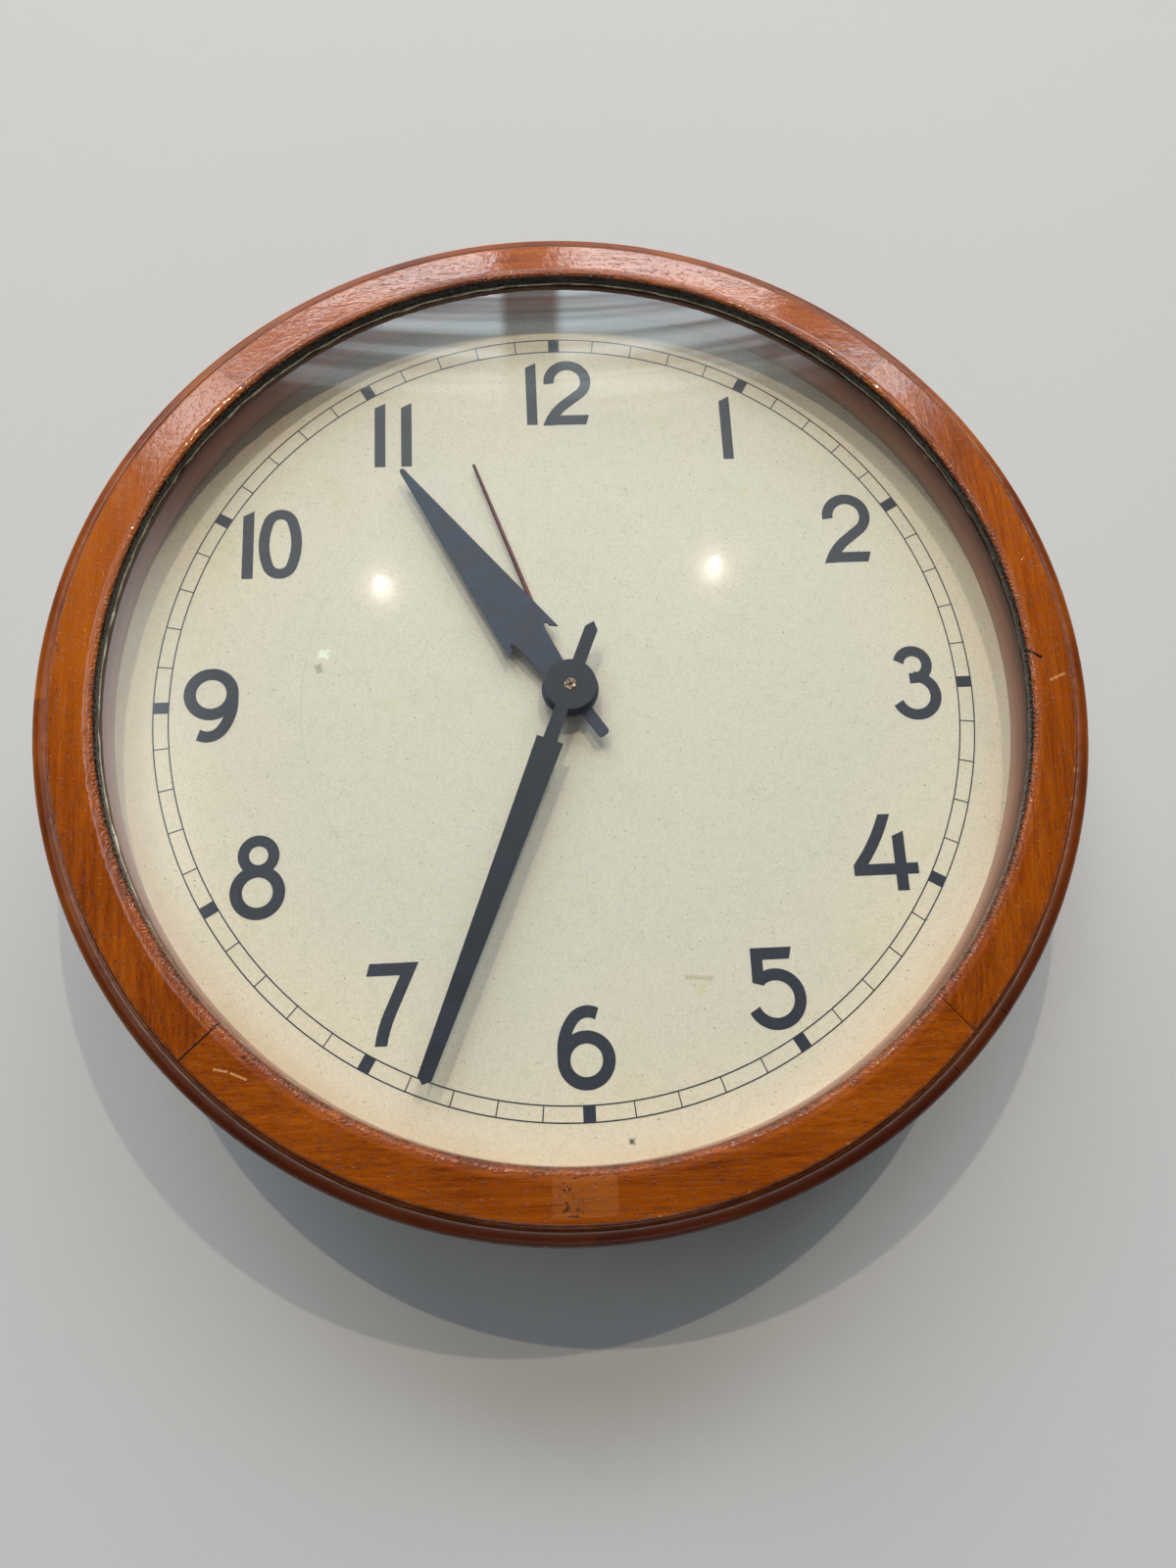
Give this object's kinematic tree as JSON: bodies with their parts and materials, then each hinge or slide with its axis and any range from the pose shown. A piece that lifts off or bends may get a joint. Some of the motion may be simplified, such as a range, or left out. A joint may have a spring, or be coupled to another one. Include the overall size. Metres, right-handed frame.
{
  "type": "factory wall clock",
  "caption": "Round electric wall clock: laminated wooden bezel, flat glass, numbered dial, hour, minute and seconds hands on a geared movement in a plywood and bentwood box.",
  "frame": {"origin": "centre of the flat back face that hangs against the wall", "axes": "+Z out of the dial, +Y to twelve o'clock, +X to three o'clock"},
  "size_m": [0.352, 0.352, 0.0955],
  "materials": {
    "bezel_wood": "varnished orange-brown hardwood",
    "surround_wood": "varnished orange-brown hardwood",
    "liner_paint": "matt brown paint",
    "glass": "clear flat glass",
    "putty": "old whitish putty",
    "dial_paint": "aged cream enamel with black markings",
    "plywood": "birch plywood under thin varnish",
    "hoop_wood": "stained bentwood",
    "brass": "lacquered",
    "steel": "bright",
    "blued_steel": "matt blue-black paint",
    "seconds_paint": "dull maroon paint",
    "bakelite": "dark brown moulded",
    "motor_case": "grey enamel",
    "lead_cover": "coloured insulation"
  },
  "bodies": {
    "clock_case": {"bezel_top": "bezel_wood", "bezel_left": "bezel_wood", "bezel_bottom": "bezel_wood", "bezel_right": "bezel_wood", "surround_upper_right": "surround_wood", "surround_upper_left": "surround_wood", "surround_lower_left": "surround_wood", "surround_lower_right": "surround_wood", "surround_insert": "surround_wood", "reveal_liner": "liner_paint", "glass": "glass", "glazing_putty": "putty", "dial_plate": "dial_paint", "dial_screws": "brass", "mounting_board": "plywood", "board_screws": "steel", "box_hoop": "hoop_wood", "glue_blocks": "plywood", "back_board": "plywood", "back_board_screws": "steel", "hanging_plate": "brass", "hanging_plate_screws": "steel", "cable_bush": "bakelite", "terminal_block": "bakelite", "terminal_screws": "brass", "motor_leads": "lead_cover", "front_plate": "brass", "back_plate": "brass", "plate_pillars": "brass", "plate_screws": "steel", "bridge_plate": "brass", "bridge_pillars": "brass", "bridge_screws": "steel", "centre_tube": "brass", "minute_wheel_post": "steel", "dial_feet": "brass", "dial_feet_nuts": "steel", "motor_body": "motor_case", "motor_screws": "steel"},
    "minute_work": {"centre_arbor": "steel", "minute_hand": "blued_steel", "minute_hand_bush": "brass", "cannon_pinion": "brass", "centre_wheel": "brass", "friction_spring": "brass", "setting_knob": "bakelite"},
    "hour_work": {"hour_hand": "blued_steel", "hour_hand_collet": "brass", "hour_pipe": "brass", "hour_wheel": "brass"},
    "seconds_work": {"seconds_hand": "seconds_paint", "seconds_pipe": "brass", "seconds_pinion": "steel"},
    "motion_work": {"minute_wheel": "brass", "minute_pinion": "steel"},
    "transmission": {"transmission_arbor": "steel", "transmission_wheel": "brass", "transmission_pinion": "steel"},
    "motor_output": {"motor_shaft": "steel", "drive_pinion": "steel"}
  },
  "joints": [
    {"name": "minute_turn", "type": "hinge", "parent": "clock_case", "child": "minute_work", "pos_m": [0, 0, 0.075], "axis": [0, 0, -1], "continuous": true},
    {"name": "hour_turn", "type": "hinge", "parent": "clock_case", "child": "hour_work", "pos_m": [0, 0, 0.075], "axis": [0, 0, -1], "continuous": true},
    {"name": "seconds_turn", "type": "hinge", "parent": "clock_case", "child": "seconds_work", "pos_m": [0, 0, 0.075], "axis": [0, 0, -1], "continuous": true},
    {"name": "minute_wheel_turn", "type": "hinge", "parent": "clock_case", "child": "motion_work", "pos_m": [0.016, 0, 0.05], "axis": [0, 0, -1], "continuous": true},
    {"name": "transmission_turn", "type": "hinge", "parent": "clock_case", "child": "transmission", "pos_m": [0, 0.034, 0.05], "axis": [0, 0, -1], "continuous": true},
    {"name": "motor_turn", "type": "hinge", "parent": "clock_case", "child": "motor_output", "pos_m": [-0.034, 0.034, 0.05], "axis": [0, 0, -1], "continuous": true}
  ],
  "couplings": [
    {"joint": "hour_turn", "follows": "minute_turn", "ratio": 0.083333},
    {"joint": "minute_wheel_turn", "follows": "minute_turn", "ratio": -0.33333},
    {"joint": "transmission_turn", "follows": "minute_turn", "ratio": -10},
    {"joint": "seconds_turn", "follows": "minute_turn", "ratio": 60},
    {"joint": "motor_turn", "follows": "minute_turn", "ratio": 60}
  ]
}
